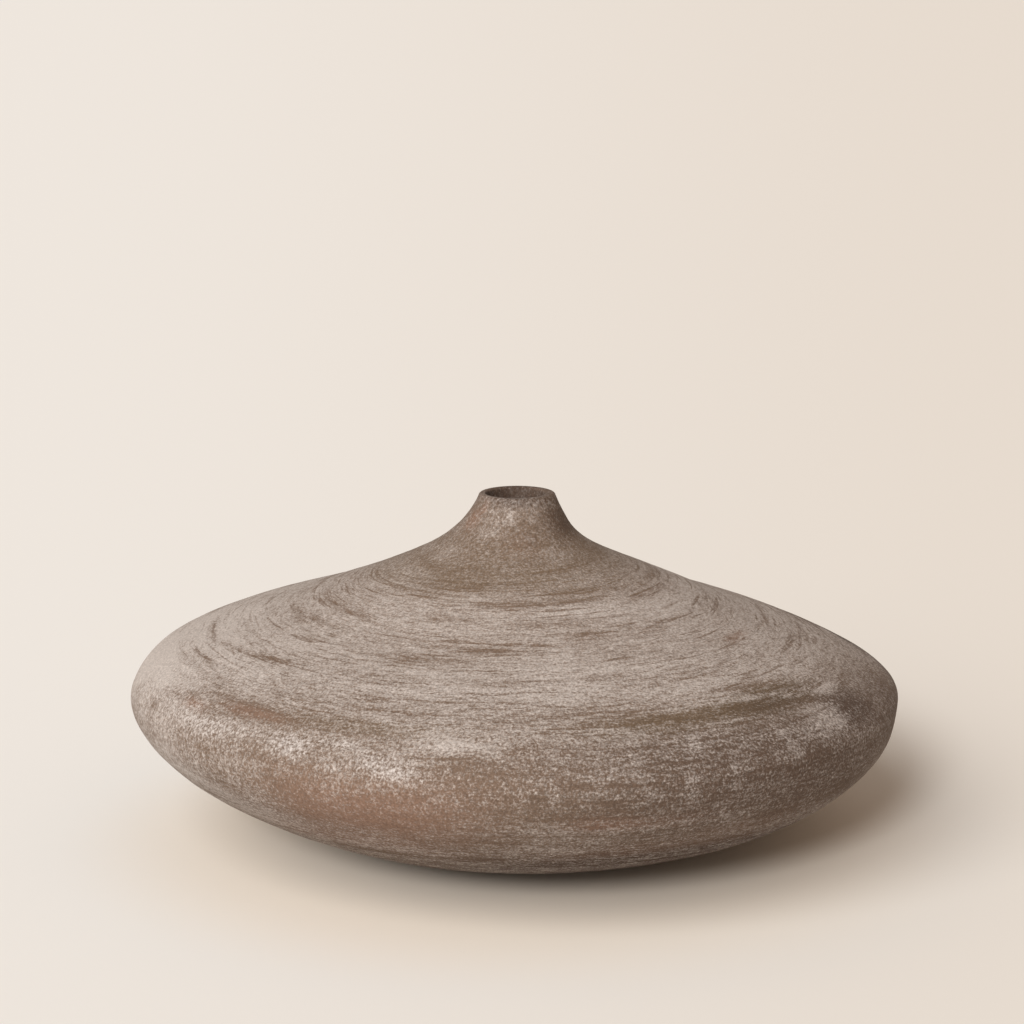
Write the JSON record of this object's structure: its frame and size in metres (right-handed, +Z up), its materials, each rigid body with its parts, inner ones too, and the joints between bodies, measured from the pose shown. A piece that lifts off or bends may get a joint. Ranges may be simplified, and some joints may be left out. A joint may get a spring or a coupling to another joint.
{
  "type": "vase",
  "caption": "Low lens-shaped stoneware vase, drawn in from a wide belly to a narrow neck that holds a few stems or dried branches.",
  "frame": {"origin": "on the table, under the middle of the vase", "axes": "+Z up along the vase's axis, out of the mouth; -Y towards the viewer of the picture; +X to the viewer's right"},
  "size_m": [0.4, 0.4, 0.184],
  "materials": {
    "slipped_stoneware": "matte brown stoneware with a pale slip brushed on dry",
    "bare_stoneware": "matte unglazed brown stoneware"
  },
  "bodies": {
    "root": {"foot_ring": "bare_stoneware", "lower_bowl": "slipped_stoneware", "seam_coil": "bare_stoneware", "upper_shell": "slipped_stoneware", "neck_collar": "slipped_stoneware"}
  },
  "joints": []
}
